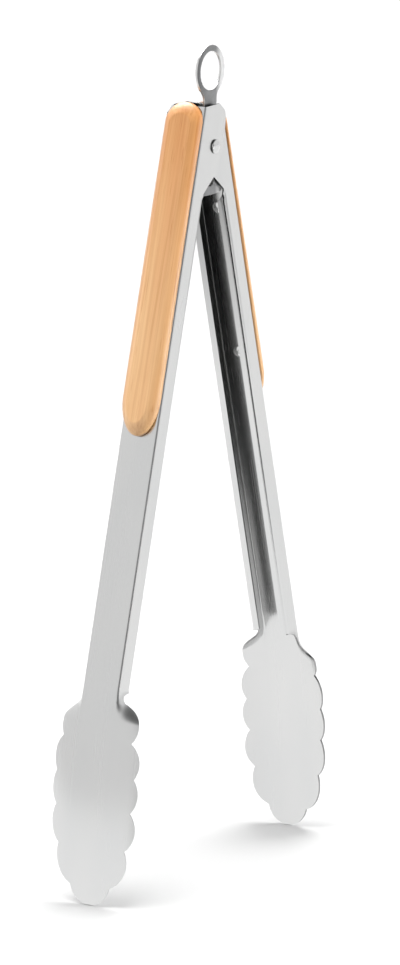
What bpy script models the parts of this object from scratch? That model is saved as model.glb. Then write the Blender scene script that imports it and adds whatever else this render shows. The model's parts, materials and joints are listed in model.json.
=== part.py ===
"""Spring loaded kitchen tongs with wooden handle scales and a pull ring lock.

Metres, +Z up. The tongs stand open on their two tips. The pivot axis runs along Y and
the origin is on the floor, midway between the tips.

Each arm is drawn in its own frame: u runs down the arm from the pivot, v points outward
from the pivot to the back of the arm, and y runs across it. The right arm is the left
one turned half a turn about Z, so that its ears lie beside the left arm's, one sheet
thickness along Y. Its top edge and its scale's top end are cut a little lower.
"""
import math

import bmesh
import bpy
from mathutils import Matrix, Vector

MM = 0.001

# Pose
OPEN_HALF_ANGLE = math.radians(15.57)

# Arm pressing
SHEET = 1.0 * MM
GAP = 0.3 * MM
BACK = 13.9 * MM
WIDTH = 20.5 * MM
DEPTH = 10.6 * MM
LIP = 4.15 * MM
BEND_R = 1.7 * MM
ARM_SHIFT = 0.5 * (SHEET + GAP)
LIP_START = 26.4 * MM
LIP_FULL = 31.0 * MM
LIP_END = 264.3 * MM
WEB_TOP = -17.0 * MM
OUTER_ROOT_TOP = -17.4 * MM
INNER_ROOT_TOP = -12.5 * MM
ROOT_POWER = 6
ARM_TRIM = {"left": 0.0, "right": 1.2 * MM}

# Head of the arm, a shallow dish with a scalloped rim
UNFOLD_START = 264.5 * MM
UNFOLD_END = 279.0 * MM
FOLD_LEFT = 0.11
FOLD_FADE = (284.0 * MM, 294.0 * MM)
DISH_START = 268.0 * MM
DISH_LONG_RADIUS = 272.0 * MM
DISH_CROSS_RADIUS = 57.0 * MM

# Holes and fasteners
RIVET_R = 2.5 * MM
RIVET_HEAD_R = 3.5 * MM
RIVET_HEAD_H = 1.3 * MM
RIVET_RIM = 0.25 * MM
RIVET_TAIL_R = 3.2 * MM
RIVET_TAIL_H = 1.1 * MM
RIVET_HOLE_R = 2.8 * MM
SCREW_R = 1.5 * MM
SCREW_HEAD_R = 3.1 * MM
SCREW_HEAD_H = 1.7 * MM
SCREW_HOLE_R = 1.8 * MM
SCREW_REACH = 4.0 * MM
SCREW_POINT = 1.2 * MM
SCREW_POINT_R = 0.3 * MM
SCREW_U = (38.5 * MM, 115.4 * MM)

# Wooden scale
SCALE_TOP = -18.6 * MM
SCALE_BOTTOM = 143.6 * MM
SCALE_HALF_WIDTH = 10.25 * MM
SCALE_THICK_TOP = 5.0 * MM
SCALE_THICK_BOTTOM = 6.1 * MM
SCALE_ROUND = 4.4 * MM
SCALE_ARC = math.radians(50)
SCALE_TOP_ARCH = 10.0 * MM
SCALE_BOTTOM_ARCH = 19.0 * MM
SCALE_END_INSET = 1.35
SCALE_TRIM = {"left": 0.0, "right": 2.4 * MM}

# Ring slider, a flat plate that rides on the sleeve
PLATE_T = 1.2 * MM
PLATE_FRONT = -(0.5 * WIDTH - ARM_SHIFT - SHEET - GAP)
RING_Z = 36.5 * MM
RING_OUTER_R = 12.43 * MM
RING_HOLE_R = 9.37 * MM
NECK_HALF = 5.5 * MM
PADDLE_HALF = 11.9 * MM
PADDLE_SHOULDER = -4.0 * MM
PADDLE_BOTTOM = -24.0 * MM
PADDLE_CORNER = 3.8 * MM
PADDLE_BOW = 0.4 * MM
SHOULDER_RISE = 7.0 * MM
NECK_FILLET = 2.5 * MM
SLOT_HALF = 3.6 * MM
SLOT_LENGTH = 16.0 * MM

# Sleeve and spring
SLEEVE_R = 3.3 * MM
SLEEVE_BORE_R = 2.8 * MM
SLEEVE_HALF = 0.5 * WIDTH - ARM_SHIFT - SHEET - GAP
WIRE_R = 0.7 * MM
COIL_R = 4.8 * MM
COIL_TURNS = 5
COIL_Y = (5.6 * MM, -4.0 * MM)
LEG_U = 31.0 * MM

# Turns that lay a piece drawn along Z on another axis
ALONG_X = Matrix.Rotation(math.radians(90), 4, "Y")
ALONG_Y = Matrix.Rotation(math.radians(90), 4, "X")

STEEL = (0.72, 0.72, 0.71, 1.0)
DARK_STEEL = (0.45, 0.46, 0.47, 1.0)
BEECH = (0.80, 0.52, 0.27, 1.0)


# ---------------------------------------------------------------- scene helpers

def clear_scene():
    for obj in list(bpy.data.objects):
        bpy.data.objects.remove(obj, do_unlink=True)


def new_collection(name):
    coll = bpy.data.collections.new(name)
    bpy.context.scene.collection.children.link(coll)
    return coll


def make_material(name, color, metallic, roughness):
    mat = bpy.data.materials.new(name)
    mat.use_nodes = True
    mat.diffuse_color = color
    bsdf = mat.node_tree.nodes["Principled BSDF"]
    bsdf.inputs["Base Color"].default_value = color
    bsdf.inputs["Metallic"].default_value = metallic
    bsdf.inputs["Roughness"].default_value = roughness
    return mat


def add_object(name, mesh, coll, mat=None, parent=None):
    obj = bpy.data.objects.new(name, mesh)
    coll.objects.link(obj)
    if mat is not None:
        mesh.materials.append(mat)
    if parent is not None:
        obj.parent = parent
    return obj


def mesh_from(bm, name, smooth=True):
    bmesh.ops.recalc_face_normals(bm, faces=bm.faces[:])
    mesh = bpy.data.meshes.new(name)
    bm.to_mesh(mesh)
    bm.free()
    if smooth:
        mesh.shade_smooth()
        mesh.set_sharp_from_angle(angle=math.radians(35))
    return mesh


def cylinder_cutter(name, radius, length, matrix, parent, segments=24):
    bm = bmesh.new()
    bmesh.ops.create_cone(bm, cap_ends=True, segments=segments, radius1=radius,
                          radius2=radius, depth=length)
    bm.transform(matrix)
    obj = add_object(name, mesh_from(bm, name, smooth=False), CUTTERS, parent=parent)
    obj.hide_render = True
    obj.display_type = "WIRE"
    return obj


def cut(target, cutter):
    mod = target.modifiers.new("cut_" + cutter.name, "BOOLEAN")
    mod.operation = "DIFFERENCE"
    mod.solver = "EXACT"
    mod.object = cutter


def turned(name, profile, steps, coll, mat, parent=None):
    """A closed solid of revolution about local Z, from a profile run top to bottom."""
    mesh = bpy.data.meshes.new(name)
    verts = [(r, 0.0, z) for r, z in profile]
    edges = [(i, i + 1) for i in range(len(verts) - 1)]
    mesh.from_pydata(verts, edges, [])
    obj = add_object(name, mesh, coll, mat, parent)
    screw = obj.modifiers.new("turn", "SCREW")
    screw.axis = "Z"
    screw.steps = steps
    screw.render_steps = steps
    screw.use_merge_vertices = True
    screw.merge_threshold = 0.00001
    screw.use_smooth_shade = True
    return obj


# ---------------------------------------------------------------- arm pressing

FLAT_S = 0.5 * WIDTH - BEND_R
BEND_S = 0.5 * math.pi * BEND_R
FLANGE_S = FLAT_S + BEND_S
LIP_BEND_S = FLANGE_S + DEPTH - 2.0 * BEND_R
LIP_FLAT_S = LIP_BEND_S + BEND_S
FULL_S = LIP_FLAT_S + LIP - BEND_R


def smoothstep(a, b, x):
    t = min(max((x - a) / (b - a), 0.0), 1.0)
    return t * t * (3.0 - 2.0 * t)


def channel_angle(s, lipped):
    """Turn of the sheet, away from the web, at developed distance s from the centre line."""
    turn = min(max((s - FLAT_S) / BEND_S, 0.0), 1.0)
    if lipped:
        turn += min(max((s - LIP_BEND_S) / BEND_S, 0.0), 1.0)
    return 0.5 * math.pi * turn


def unfolded(u):
    """Share of the channel's bends that has opened out into the dish at u."""
    first = (1.0 - FOLD_LEFT) * smoothstep(UNFOLD_START, UNFOLD_END, u)
    return first + FOLD_LEFT * smoothstep(FOLD_FADE[0], FOLD_FADE[1], u)


def sheet_angle(u, s):
    q = unfolded(u)
    lipped = u > LIP_START - 1e-6
    return (1.0 - q) * channel_angle(s, lipped) + q * s / DISH_CROSS_RADIUS


def centre_depth(u):
    over = max(u - DISH_START, 0.0)
    return BACK - over * over / (2.0 * DISH_LONG_RADIUS)


def sheet_point(u, s):
    """Outer face of the pressing at (u, s), s being signed, as local (x, y, z)."""
    side = 1.0 if s >= 0.0 else -1.0
    reach = abs(s)
    y = 0.0
    v = centre_depth(u)
    count = max(1, int(math.ceil(reach / (0.3 * MM))))
    ds = reach / count
    for i in range(count):
        a = sheet_angle(u, (i + 0.5) * ds)
        y += math.cos(a) * ds
        v -= math.sin(a) * ds
    return Vector((-v, side * y - ARM_SHIFT, -u))


def ear_s(v):
    """Developed distance of a point of the ear, v from the pivot."""
    return FLANGE_S + BACK - BEND_R - v


# Free edge of the ears, (u, v) points from the top down. The outside ear is whole; the
# corner at the top of the inside ear is the stop that meets the other web when open.
OUTER_EAR = [(-20.7, 1.45), (-18.8, -1.3), (-16.9, -4.0), (-14.4, -5.6), (-10.0, -6.5),
             (-5.0, -6.9), (0.0, -6.95)]
INNER_EAR = [(-13.8, -6.3), (-12.5, -6.5), (-11.3, -6.6), (-9.6, -6.75), (-6.7, -6.85),
             (-3.3, -6.95), (0.0, -6.95)]
EAR_FOOT = [(2.0, -6.7), (4.5, -6.05), (8.4, -5.95), (11.9, -5.4), (14.6, -3.1), (19.2, 0.6),
            (24.0, 4.2)]


def top_edge(s, trim):
    """u of the arm's top edge at developed distance s, the outside ear's side negative.

    The web is cut straight. The cut runs on up to the corner of the outside ear, and
    falls away round the corner to the inside ear. It sits lower by trim.
    """
    outside = s < 0.0
    web = WEB_TOP + trim
    root = OUTER_ROOT_TOP + trim if outside else INNER_ROOT_TOP
    corner_u, corner_v = OUTER_EAR[0] if outside else INNER_EAR[0]
    corner = corner_u * MM + trim if outside else corner_u * MM
    reach = abs(s)
    if reach < FLANGE_S:
        return web + (root - web) * (reach / FLANGE_S) ** ROOT_POWER
    run = ear_s(corner_v * MM) - FLANGE_S
    return root + (corner - root) * (reach - FLANGE_S) / run


# Rim of the head in the flat blank, as (u, s) notches between its lobes, with the
# bulge of each lobe beyond the straight line from notch to notch.
NOTCHES = [(271.2, 14.9), (289.8, 19.4), (306.8, 22.2), (323.1, 21.3), (341.5, 18.9),
           (360.1, 11.0)]
BULGES = [4.9, 3.5, 2.9, 3.9, 4.3]
LOBE_STEPS = [0.0, 0.2, 0.4, 0.6, 0.8]
FIRST_LOBE_STEPS = [0.0, 0.1, 0.22, 0.4, 0.6, 0.8]
TIP_BULGE = 9.1
TIP_STEPS = [0.0, 0.08, 0.17, 0.27, 0.37, 0.45]
# Lower end of the flanges, as (u, s) points from the end of the lip to the first lobe
FLANGE_END = [(265.0, 21.9), (265.8, 19.3), (266.8, 16.2), (267.9, 14.4), (269.6, 13.9)]


def arc_point(a, b, bulge, t):
    """Point at t of the circular arc from a to b that rises by bulge beyond the chord."""
    ax, ay = a
    bx, by = b
    half = 0.5 * math.hypot(bx - ax, by - ay)
    radius = (half * half + bulge * bulge) / (2.0 * bulge)
    spread = math.asin(min(1.0, half / radius))
    if bulge > half:
        spread = math.pi - spread
    angle = spread * (2.0 * t - 1.0)
    along = radius * math.sin(angle) / half
    rise = radius * math.cos(angle) - (radius - bulge)
    mx, my = 0.5 * (ax + bx), 0.5 * (ay + by)
    nx, ny = -(by - ay) / (2.0 * half), (bx - ax) / (2.0 * half)
    return (mx + along * 0.5 * (bx - ax) + nx * rise, my + along * 0.5 * (by - ay) + ny * rise)


def arm_rows():
    """Rows of the pressing from top to tip: (u or share of the ear, in the ear, near, far)."""
    rows = []
    for (u, v_out), (_, v_in) in zip(OUTER_EAR, INNER_EAR):
        rows.append((u / OUTER_EAR[0][0], True, ear_s(v_out * MM), ear_s(v_in * MM)))
    for u, v in EAR_FOOT:
        rows.append((u * MM, False, ear_s(v * MM), ear_s(v * MM)))
    half_lip = 0.5 * (LIP_BEND_S + LIP_FLAT_S)
    plain = [(LIP_START, half_lip), (28.6 * MM, LIP_FLAT_S + 0.3 * MM)]
    plain += [(u, FULL_S) for u in (LIP_FULL, 145.0 * MM, LIP_END)]
    plain += [(u * MM, s * MM) for u, s in FLANGE_END]
    for k, bulge in enumerate(BULGES):
        for t in FIRST_LOBE_STEPS if k == 0 else LOBE_STEPS:
            u, s = arc_point(NOTCHES[k], NOTCHES[k + 1], bulge, t)
            plain.append((u * MM, s * MM))
    last_u, last_s = NOTCHES[-1]
    for t in TIP_STEPS:
        u, s = arc_point((last_u, last_s), (last_u, -last_s), TIP_BULGE, t)
        plain.append((u * MM, s * MM))
    return rows + [(u, False, s, s) for u, s in plain]


def column_fractions():
    """Columns over half the blank: through the web, both bends, the flange and the lip."""
    cols = [0.0, 0.5 * FLAT_S, FLAT_S]
    cols += [FLAT_S + BEND_S * k / 3 for k in (1, 2, 3)]
    cols += [0.5 * (FLANGE_S + LIP_BEND_S), LIP_BEND_S]
    cols += [LIP_BEND_S + BEND_S * k / 2 for k in (1, 2)]
    cols += [FULL_S]
    return cols


def row_columns(u, reach, cols):
    """Developed distances of one half row that ends at reach."""
    if abs(reach - FULL_S) < 1e-7:
        return list(cols)
    spread = unfolded(u)
    out = []
    for s in cols:
        keep = s
        if s > FLANGE_S:
            keep = FLANGE_S + (s - FLANGE_S) * (reach - FLANGE_S) / (FULL_S - FLANGE_S)
        out.append((1.0 - spread) * keep + spread * reach * s / FULL_S)
    return out


def arm_sheet(name, trim):
    """Outer face of the pressing, as a grid of rows down the arm."""
    bm = bmesh.new()
    cols = column_fractions()
    grid = []
    for place, in_ear, near, far in arm_rows():
        level = 0.0 if in_ear else place
        signed = [-s for s in reversed(row_columns(level, near, cols)[1:])]
        signed += row_columns(level, far, cols)
        line = []
        for s in signed:
            u = place * top_edge(s, trim) if in_ear else place
            line.append(bm.verts.new(sheet_point(u, s)))
        grid.append(line)
    for upper, lower in zip(grid, grid[1:]):
        for i in range(len(upper) - 1):
            bm.faces.new((upper[i], upper[i + 1], lower[i + 1], lower[i]))
    mesh = bpy.data.meshes.new(name)
    bm.to_mesh(mesh)
    bm.free()
    mesh.shade_smooth()
    mesh.set_sharp_from_angle(angle=math.radians(35))
    return mesh


def build_arm(name, parent, mat, trim):
    arm = add_object(name, arm_sheet(name, trim), PARTS, mat, parent)
    thick = arm.modifiers.new("sheet", "SOLIDIFY")
    thick.thickness = SHEET
    thick.offset = -1.0
    thick.use_even_offset = False
    cut(arm, cylinder_cutter(name + "_rivet_hole", RIVET_HOLE_R, 40.0 * MM, ALONG_Y, arm))
    for i, u in enumerate(SCREW_U):
        place = Matrix.Translation((-BACK, -ARM_SHIFT, -u)) @ ALONG_X
        cut(arm, cylinder_cutter(f"{name}_screw_hole_{i + 1}", SCREW_HOLE_R, 4.0 * MM, place, arm))
    return arm


# ---------------------------------------------------------------- wooden scale

def scale_outline(trim, inset, count=10):
    """Outline of the scale, inset at its sides and a little more at its ends."""
    half = SCALE_HALF_WIDTH - inset
    top = SCALE_TOP + trim + inset * SCALE_END_INSET
    bottom = SCALE_BOTTOM - inset * SCALE_END_INSET
    top_arch = SCALE_TOP_ARCH * half / SCALE_HALF_WIDTH
    bottom_arch = SCALE_BOTTOM_ARCH * half / SCALE_HALF_WIDTH
    points = []
    for i in range(count + 1):
        a = math.pi * i / count
        points.append((bottom - bottom_arch * (1.0 - math.sin(a)), half * math.cos(a)))
    for i in range(count + 1):
        a = math.pi * i / count
        points.append((top + top_arch * (1.0 - math.sin(a)), -half * math.cos(a)))
    return points


def scale_thickness(u):
    t = (u - SCALE_TOP) / (SCALE_BOTTOM - SCALE_TOP)
    return SCALE_THICK_TOP + (SCALE_THICK_BOTTOM - SCALE_THICK_TOP) * t


def build_scale(name, arm, mat, trim):
    bm = bmesh.new()
    base = BACK + GAP
    loops = []
    steps = [(0.0, 0.0)]
    for share in (0.0, 0.25, 0.5, 0.75, 1.0):
        a = SCALE_ARC * share
        inset = SCALE_ROUND * (1.0 - math.cos(a)) / (1.0 - math.cos(SCALE_ARC))
        steps.append((inset, math.sin(a) / math.sin(SCALE_ARC)))
    for k, (inset, lift) in enumerate(steps):
        loop = []
        for u, y in scale_outline(trim, inset):
            full = scale_thickness(u) - GAP
            wall = full - SCALE_ROUND
            h = 0.0 if k == 0 else wall + SCALE_ROUND * lift
            loop.append(bm.verts.new((-(base + h), y - ARM_SHIFT, -u)))
        loops.append(loop)
    n = len(loops[0])
    for lower, upper in zip(loops, loops[1:]):
        for i in range(n):
            j = (i + 1) % n
            bm.faces.new((lower[i], lower[j], upper[j], upper[i]))
    bm.faces.new(loops[0])
    bm.faces.new(loops[-1])
    scale = add_object(name, mesh_from(bm, name), PARTS, mat, arm)
    length = SCREW_REACH + GAP + 1.0 * MM
    middle = BACK + 0.5 * length - 1.0 * MM
    for i, u in enumerate(SCREW_U):
        place = Matrix.Translation((-middle, -ARM_SHIFT, -u)) @ ALONG_X
        cut(scale, cylinder_cutter(f"{name}_pilot_{i + 1}", SCREW_HOLE_R, length, place, arm))
    return scale


def build_screw(name, arm, u, mat):
    """Pan head screw, from inside the channel through the web into the scale."""
    head = [(0.0, SCREW_HEAD_H)]
    for d in (25, 50, 75, 90):
        a = math.radians(d)
        head.append((SCREW_HEAD_R * math.sin(a), SCREW_HEAD_H * (0.35 + 0.65 * math.cos(a))))
    reach = SHEET + GAP + SCREW_REACH
    profile = head + [(SCREW_HEAD_R, 0.0), (SCREW_R, 0.0), (SCREW_R, -reach + SCREW_POINT),
                      (SCREW_POINT_R, -reach), (0.0, -reach)]
    screw = turned(name, profile, 20, PARTS, mat, arm)
    screw.location = (-(BACK - SHEET - GAP), -ARM_SHIFT, -u)
    screw.rotation_euler = (0.0, math.radians(90), 0.0)
    return screw


# ---------------------------------------------------------------- pivot group

def build_rivet(parent, mat):
    """Pivot rivet with a low dome on the near side and an upset tail on the far side."""
    near = 0.5 * WIDTH + ARM_SHIFT + GAP
    dome_h = RIVET_HEAD_H - RIVET_RIM
    profile = []
    for d in (0, 20, 40, 60, 80, 90):
        a = math.radians(d)
        profile.append((RIVET_HEAD_R * math.sin(a), near + RIVET_RIM + dome_h * math.cos(a)))
    profile += [(RIVET_HEAD_R, near), (RIVET_R, near), (RIVET_R, -near), (RIVET_TAIL_R, -near),
                (RIVET_TAIL_R, -near - 0.5 * RIVET_TAIL_H),
                (RIVET_TAIL_R - 0.5 * MM, -near - 0.9 * RIVET_TAIL_H),
                (0.0, -near - RIVET_TAIL_H)]
    rivet = turned("pivot_rivet", profile, 24, PARTS, mat, parent)
    rivet.rotation_euler = (math.radians(90), 0.0, 0.0)
    return rivet


def build_sleeve(parent, mat):
    """Spacer sleeve between the inside ears; the ring slider and the spring ride on it."""
    bm = bmesh.new()
    bmesh.ops.create_cone(bm, cap_ends=True, segments=28, radius1=SLEEVE_R, radius2=SLEEVE_R,
                          depth=2.0 * SLEEVE_HALF)
    bm.transform(ALONG_Y)
    sleeve = add_object("spacer_sleeve", mesh_from(bm, "spacer_sleeve"), PARTS, mat, parent)
    cut(sleeve, cylinder_cutter("sleeve_bore", SLEEVE_BORE_R, 30.0 * MM, ALONG_Y, parent, 28))
    return sleeve


def curve_tube(name, points, radius, resolution, mat, parent):
    curve = bpy.data.curves.new(name, "CURVE")
    curve.dimensions = "3D"
    curve.bevel_depth = radius
    curve.bevel_resolution = resolution
    curve.use_fill_caps = True
    curve.materials.append(mat)
    spline = curve.splines.new("POLY")
    spline.points.add(len(points) - 1)
    for point, co in zip(spline.points, points):
        point.co = (co[0], co[1], co[2], 1.0)
    obj = bpy.data.objects.new(name, curve)
    PARTS.objects.link(obj)
    obj.parent = parent
    return obj


def build_spring(parent, mat):
    """Torsion spring around the sleeve, one leg against the inside of each web."""
    press_v = BACK - SHEET - GAP - WIRE_R
    x_end = LEG_U * math.sin(OPEN_HALF_ANGLE) + press_v * math.cos(OPEN_HALF_ANGLE)
    z_end = -LEG_U * math.cos(OPEN_HALF_ANGLE) + press_v * math.sin(OPEN_HALF_ANGLE)
    dist = math.hypot(x_end, z_end)
    slope = math.acos(COIL_R / dist) - math.atan2(-z_end, x_end)
    y_right, y_left = COIL_Y
    stop = math.pi - slope + 2.0 * math.pi * COIL_TURNS
    count = 14 * COIL_TURNS + 8
    points = [(x_end, y_right, z_end)]
    for i in range(count + 1):
        t = i / count
        a = slope + (stop - slope) * t
        points.append((COIL_R * math.cos(a), y_right + (y_left - y_right) * t, COIL_R * math.sin(a)))
    points.append((-x_end, y_left, z_end))
    return curve_tube("torsion_spring", points, WIRE_R, 2, mat, parent)


def plate_outline():
    """Half outline of the ring slider, from the ring's top down to the paddle's foot."""
    points = []
    join = math.asin(NECK_HALF / RING_OUTER_R)
    steps = 18
    for i in range(steps + 1):
        a = 0.5 * math.pi - (math.pi - join - math.radians(9)) * i / steps
        points.append((RING_OUTER_R * math.cos(a), RING_Z + RING_OUTER_R * math.sin(a)))
    neck_top = RING_Z - RING_OUTER_R * math.cos(join) - NECK_FILLET
    points.append((NECK_HALF + 0.25 * NECK_FILLET, neck_top + 1.5 * NECK_FILLET))
    points.append((NECK_HALF, neck_top + 0.6 * NECK_FILLET))
    for i in range(7):
        t = i / 6
        blend = t * t * (3.0 - 2.0 * t)
        points.append((NECK_HALF + (PADDLE_HALF - NECK_HALF) * blend,
                       PADDLE_SHOULDER + SHOULDER_RISE * (1.0 - t)))
    for d in (0, 30, 60, 85):
        a = math.radians(d)
        points.append((PADDLE_HALF - PADDLE_CORNER * (1.0 - math.cos(a)),
                       PADDLE_BOTTOM + PADDLE_BOW + PADDLE_CORNER * (1.0 - math.sin(a))))
    points.append((0.3 * PADDLE_HALF, PADDLE_BOTTOM + 0.25 * PADDLE_BOW))
    return points


def flat_plate(name, outline, thickness, front, mat, parent):
    """A flat outline in the XZ plane, given thickness along Y behind its front face."""
    curve = bpy.data.curves.new(name, "CURVE")
    curve.dimensions = "2D"
    curve.fill_mode = "BOTH"
    curve.extrude = 0.5 * thickness
    spline = curve.splines.new("POLY")
    spline.points.add(len(outline) - 1)
    for point, (x, z) in zip(spline.points, outline):
        point.co = (x, z, 0.0, 1.0)
    spline.use_cyclic_u = True
    obj = bpy.data.objects.new(name + "_curve", curve)
    bpy.context.scene.collection.objects.link(obj)
    obj.rotation_euler = (math.radians(90), 0.0, 0.0)
    obj.location = (0.0, front + 0.5 * thickness, 0.0)
    bpy.context.view_layer.update()
    evaluated = obj.evaluated_get(bpy.context.evaluated_depsgraph_get())
    mesh = bpy.data.meshes.new_from_object(evaluated)
    bm = bmesh.new()
    bm.from_mesh(mesh)
    bmesh.ops.remove_doubles(bm, verts=bm.verts[:], dist=0.000001)
    bm.transform(obj.matrix_world)
    bpy.data.objects.remove(obj, do_unlink=True)
    bpy.data.meshes.remove(mesh)
    return add_object(name, mesh_from(bm, name, smooth=False), PARTS, mat, parent)


def build_slider(parent, mat):
    half = plate_outline()
    outline = half + [(0.0, PADDLE_BOTTOM)] + [(-x, z) for x, z in reversed(half) if x > 1e-6]
    plate = flat_plate("ring_slider", outline, PLATE_T, PLATE_FRONT, mat, parent)
    middle = PLATE_FRONT + 0.5 * PLATE_T
    ring = Matrix.Translation((0.0, middle, RING_Z)) @ ALONG_Y
    cut(plate, cylinder_cutter("ring_hole", RING_HOLE_R, 6.0 * MM, ring, parent, 40))
    slot = []
    for i in range(9):
        a = math.pi * i / 8
        slot.append((SLOT_HALF * math.cos(a), SLOT_HALF * math.sin(a)))
    slot += [(-x, -z - SLOT_LENGTH) for x, z in slot]
    cutter = flat_plate("slider_slot", slot, 6.0 * MM, middle - 3.0 * MM, mat, parent)
    PARTS.objects.unlink(cutter)
    CUTTERS.objects.link(cutter)
    cutter.hide_render = True
    cutter.display_type = "WIRE"
    cut(plate, cutter)
    return plate


# ---------------------------------------------------------------- assembly

def lowest_point(arm_mesh):
    """How far below the pivot the open arm reaches, with its sheet thickness."""
    c, s = math.cos(OPEN_HALF_ANGLE), math.sin(OPEN_HALF_ANGLE)
    low = 0.0
    for vert in arm_mesh.vertices:
        for point in (vert.co, vert.co - SHEET * vert.normal):
            low = min(low, -point.x * s + point.z * c)
    return low


clear_scene()
PARTS = new_collection("kitchen_tongs")
CUTTERS = new_collection("cutters")

steel = make_material("brushed_steel", STEEL, 1.0, 0.28)
plate_steel = make_material("plate_steel", DARK_STEEL, 1.0, 0.3)
wood = make_material("beech", BEECH, 0.0, 0.5)

probe = arm_sheet("probe", 0.0)
PIVOT_Z = -lowest_point(probe)
bpy.data.meshes.remove(probe)

pivot = bpy.data.objects.new("pivot", None)
PARTS.objects.link(pivot)
pivot.location = (0.0, 0.0, PIVOT_Z)

for side, turn in (("left", 0.0), ("right", math.pi)):
    swing = bpy.data.objects.new(side + "_swing", None)
    PARTS.objects.link(swing)
    swing.parent = pivot
    swing.rotation_euler = (0.0, OPEN_HALF_ANGLE, turn)
    build_arm(side + "_arm", swing, steel, ARM_TRIM[side])
    build_scale(side + "_scale", swing, wood, SCALE_TRIM[side])
    build_screw(side + "_upper_screw", swing, SCREW_U[0], steel)
    build_screw(side + "_lower_screw", swing, SCREW_U[1], steel)

build_rivet(pivot, steel)
build_sleeve(pivot, plate_steel)
build_spring(pivot, plate_steel)
build_slider(pivot, plate_steel)
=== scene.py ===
import json
import math

import bmesh
import bpy
import numpy as np
from mathutils import Matrix, Vector


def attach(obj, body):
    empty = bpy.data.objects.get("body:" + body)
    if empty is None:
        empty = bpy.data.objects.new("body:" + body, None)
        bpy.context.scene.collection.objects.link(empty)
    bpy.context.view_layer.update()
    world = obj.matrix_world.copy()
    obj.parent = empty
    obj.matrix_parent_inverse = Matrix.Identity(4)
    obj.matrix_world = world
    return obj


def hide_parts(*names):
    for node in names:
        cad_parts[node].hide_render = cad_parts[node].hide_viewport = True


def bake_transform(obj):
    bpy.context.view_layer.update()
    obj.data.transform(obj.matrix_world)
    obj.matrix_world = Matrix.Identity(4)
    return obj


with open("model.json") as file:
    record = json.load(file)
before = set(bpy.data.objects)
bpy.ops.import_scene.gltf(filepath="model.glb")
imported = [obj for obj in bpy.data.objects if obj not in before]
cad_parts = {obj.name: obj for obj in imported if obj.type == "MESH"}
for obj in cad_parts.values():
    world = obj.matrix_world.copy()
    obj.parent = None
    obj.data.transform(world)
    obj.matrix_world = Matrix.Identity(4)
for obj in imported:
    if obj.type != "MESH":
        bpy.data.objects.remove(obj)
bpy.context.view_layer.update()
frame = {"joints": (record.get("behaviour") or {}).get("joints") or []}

MM = 0.001
TINY = 1e-6

# Mesh attributes read by the materials: a piece's own coordinates, and the sheet's sheared rim
LAY = "lay"
RIM = "rim"


# ------------------------------------------------------------------ places and sizes

JOINTS = {joint["name"]: joint for joint in frame["joints"]}
PIVOT = Vector(JOINTS["left_hinge"]["pos_m"])
OPEN_HALF_ANGLE = math.radians(15.57)
SIDE_TURN = {"left": 0.0, "right": math.pi}
FACING_OUT = Matrix.Rotation(math.radians(90), 4, "Y")
ACROSS = Matrix.Rotation(math.radians(90), 4, "X")

# Arm pressing: u runs down the arm from the pivot, v outward to its back, y across it
SHEET = 1.0 * MM
GAP = 0.3 * MM
BACK = 13.9 * MM
WIDTH = 20.5 * MM
DEPTH = 10.6 * MM
LIP = 4.15 * MM
BEND_R = 1.7 * MM
ARM_SHIFT = 0.5 * (SHEET + GAP)
EDGE_R = 0.22 * MM
EDGE_ANGLE = math.radians(55)
LIP_START = 26.4 * MM
LIP_FULL = 31.0 * MM
LIP_END = 264.3 * MM
UNFOLD_START = 264.5 * MM
UNFOLD_END = 281.0 * MM
FOLD_LEFT = 0.06
FOLD_FADE = (280.0 * MM, 292.0 * MM)
DISH_START = 268.0 * MM
DISH_LONG_RADIUS = 272.0 * MM
DISH_CROSS_RADIUS = 57.0 * MM

RIVET_R = 2.5 * MM
RIVET_HEAD_R = 3.5 * MM
RIVET_HEAD_H = 1.3 * MM
RIVET_TAIL_R = 3.2 * MM
RIVET_HOLE_R = 2.8 * MM
RIVET_STEPS = 64

SCREW_R = 1.5 * MM
SCREW_HEAD_R = 3.1 * MM
SCREW_HEAD_H = 1.7 * MM
SCREW_HOLE_R = 1.8 * MM
SCREW_REACH = 4.0 * MM
SCREW_U = {"upper": 38.5 * MM, "lower": 115.4 * MM}
SCREW_TURN = {"upper": 0.4, "lower": 1.1}
SCREW_STEPS = 40
THREAD_PITCH = 0.6 * MM
THREAD_DEPTH = 0.22 * MM
CROSS_HALF = 0.4 * MM
CROSS_REACH = 1.75 * MM
CROSS_DEPTH = 1.1 * MM

SCALE_TOP = -18.6 * MM
SCALE_BOTTOM = 143.6 * MM
SCALE_HALF_WIDTH = 10.25 * MM
SCALE_THICK_TOP = 5.0 * MM
SCALE_THICK_BOTTOM = 6.1 * MM
SCALE_ROUND = 4.4 * MM
SCALE_ARC = math.radians(50)
SCALE_STEPS = 12
SCALE_TOP_INSET = SCALE_ROUND + 0.25 * MM
SCALE_TOP_ARCH = 10.0 * MM
SCALE_BOTTOM_ARCH = 19.0 * MM
SCALE_END_INSET = 1.35
SCALE_FOOT = [(0.5 * MM, 0.0), (0.1 * MM, 0.4 * MM), (0.0, 0.6 * MM)]

# How much lower the top edges of the arm and of its scale start
ARM_TRIM = {"left": 0.0, "right": 1.2 * MM}
SCALE_TRIM = {"left": 0.0, "right": 2.4 * MM}

PLATE_T = 1.2 * MM
PLATE_FRONT = -(0.5 * WIDTH - ARM_SHIFT - SHEET - GAP)
PLATE_EDGE = 0.2 * MM
RING_Z = 36.5 * MM
RING_OUTER_R = 12.43 * MM
RING_HOLE_R = 9.37 * MM
NECK_HALF = 5.5 * MM
NECK_FILLET = 2.5 * MM
NECK_START = math.radians(14)
PADDLE_HALF = 11.9 * MM
PADDLE_SHOULDER = -4.0 * MM
PADDLE_RISE = 7.0 * MM
PADDLE_CORNER = 3.8 * MM
PADDLE_BOTTOM = -24.0 * MM
SLOT_HALF = 3.6 * MM
SLOT_LENGTH = 16.0 * MM

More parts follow.
